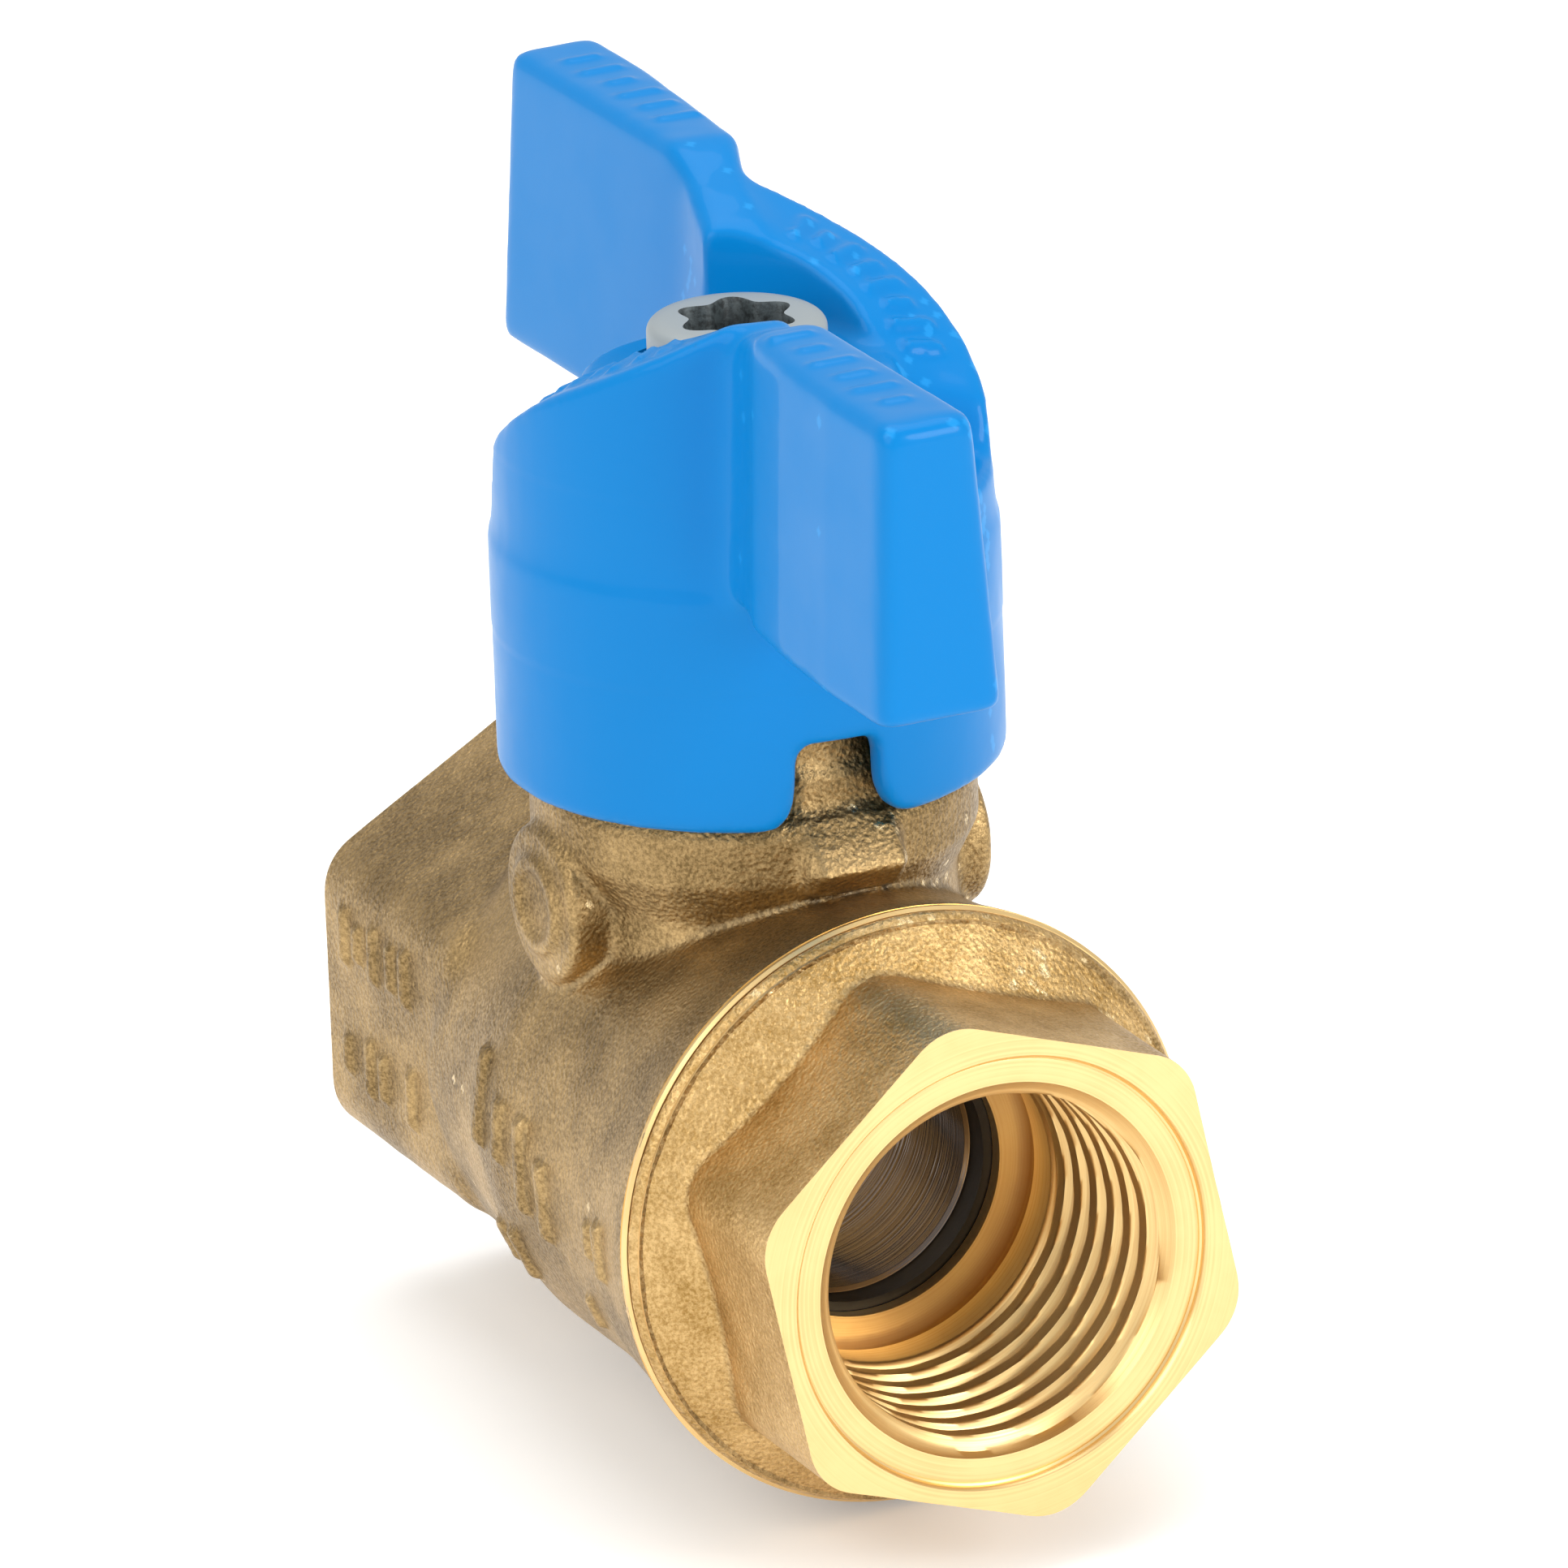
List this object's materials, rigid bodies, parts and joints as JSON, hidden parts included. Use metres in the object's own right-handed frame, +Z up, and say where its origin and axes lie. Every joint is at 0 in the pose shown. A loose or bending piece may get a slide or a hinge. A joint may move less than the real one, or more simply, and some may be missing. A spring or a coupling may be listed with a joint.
{
  "type": "water shutoff valve",
  "caption": "Small brass quarter-turn ball valve with two threaded pipe ports and a cast butterfly handle held by a socket-head screw.",
  "frame": {"origin": "where the pipe axis crosses the stem axis, at the centre of the ball", "axes": "+X along the pipe axis out of the end cap's port, +Z up the stem towards the handle, +Y to the left of +X"},
  "size_m": [0.0548, 0.0258, 0.052],
  "materials": {
    "forged_brass": "shot-blasted forging, slightly tarnished",
    "machined_brass": "bright turned faces",
    "handle_enamel": "thick gloss epoxy",
    "zinc_flake": "silver-grey zinc-flake coating",
    "ball_chrome": "chrome-plated, polished",
    "seat_plastic": "carbon-filled low-friction seat material, turned",
    "washer_plastic": "white low-friction plastic",
    "seal_rubber": "matt black moulded rubber"
  },
  "bodies": {
    "valve": {"body": "forged_brass", "end_cap": "forged_brass", "joint_seal": "seal_rubber", "inlet_seat": "seat_plastic", "outlet_seat": "seat_plastic", "thrust_washer": "washer_plastic"},
    "stem": {"stem": "machined_brass", "lower_stem_seal": "seal_rubber", "upper_stem_seal": "seal_rubber", "handle": "handle_enamel", "handle_screw": "zinc_flake"},
    "ball": {"ball": "ball_chrome"}
  },
  "joints": [
    {"name": "handle_turn", "type": "hinge", "parent": "valve", "child": "stem", "pos_m": [0, 0, 0], "axis": [0, 0, 1], "range_deg": [-90, 0]},
    {"name": "ball_turn", "type": "hinge", "parent": "valve", "child": "ball", "pos_m": [0, 0, 0], "axis": [0, 0, 1], "range_deg": [-90, 0]}
  ],
  "couplings": [
    {"joint": "ball_turn", "follows": "handle_turn", "ratio": 1}
  ]
}
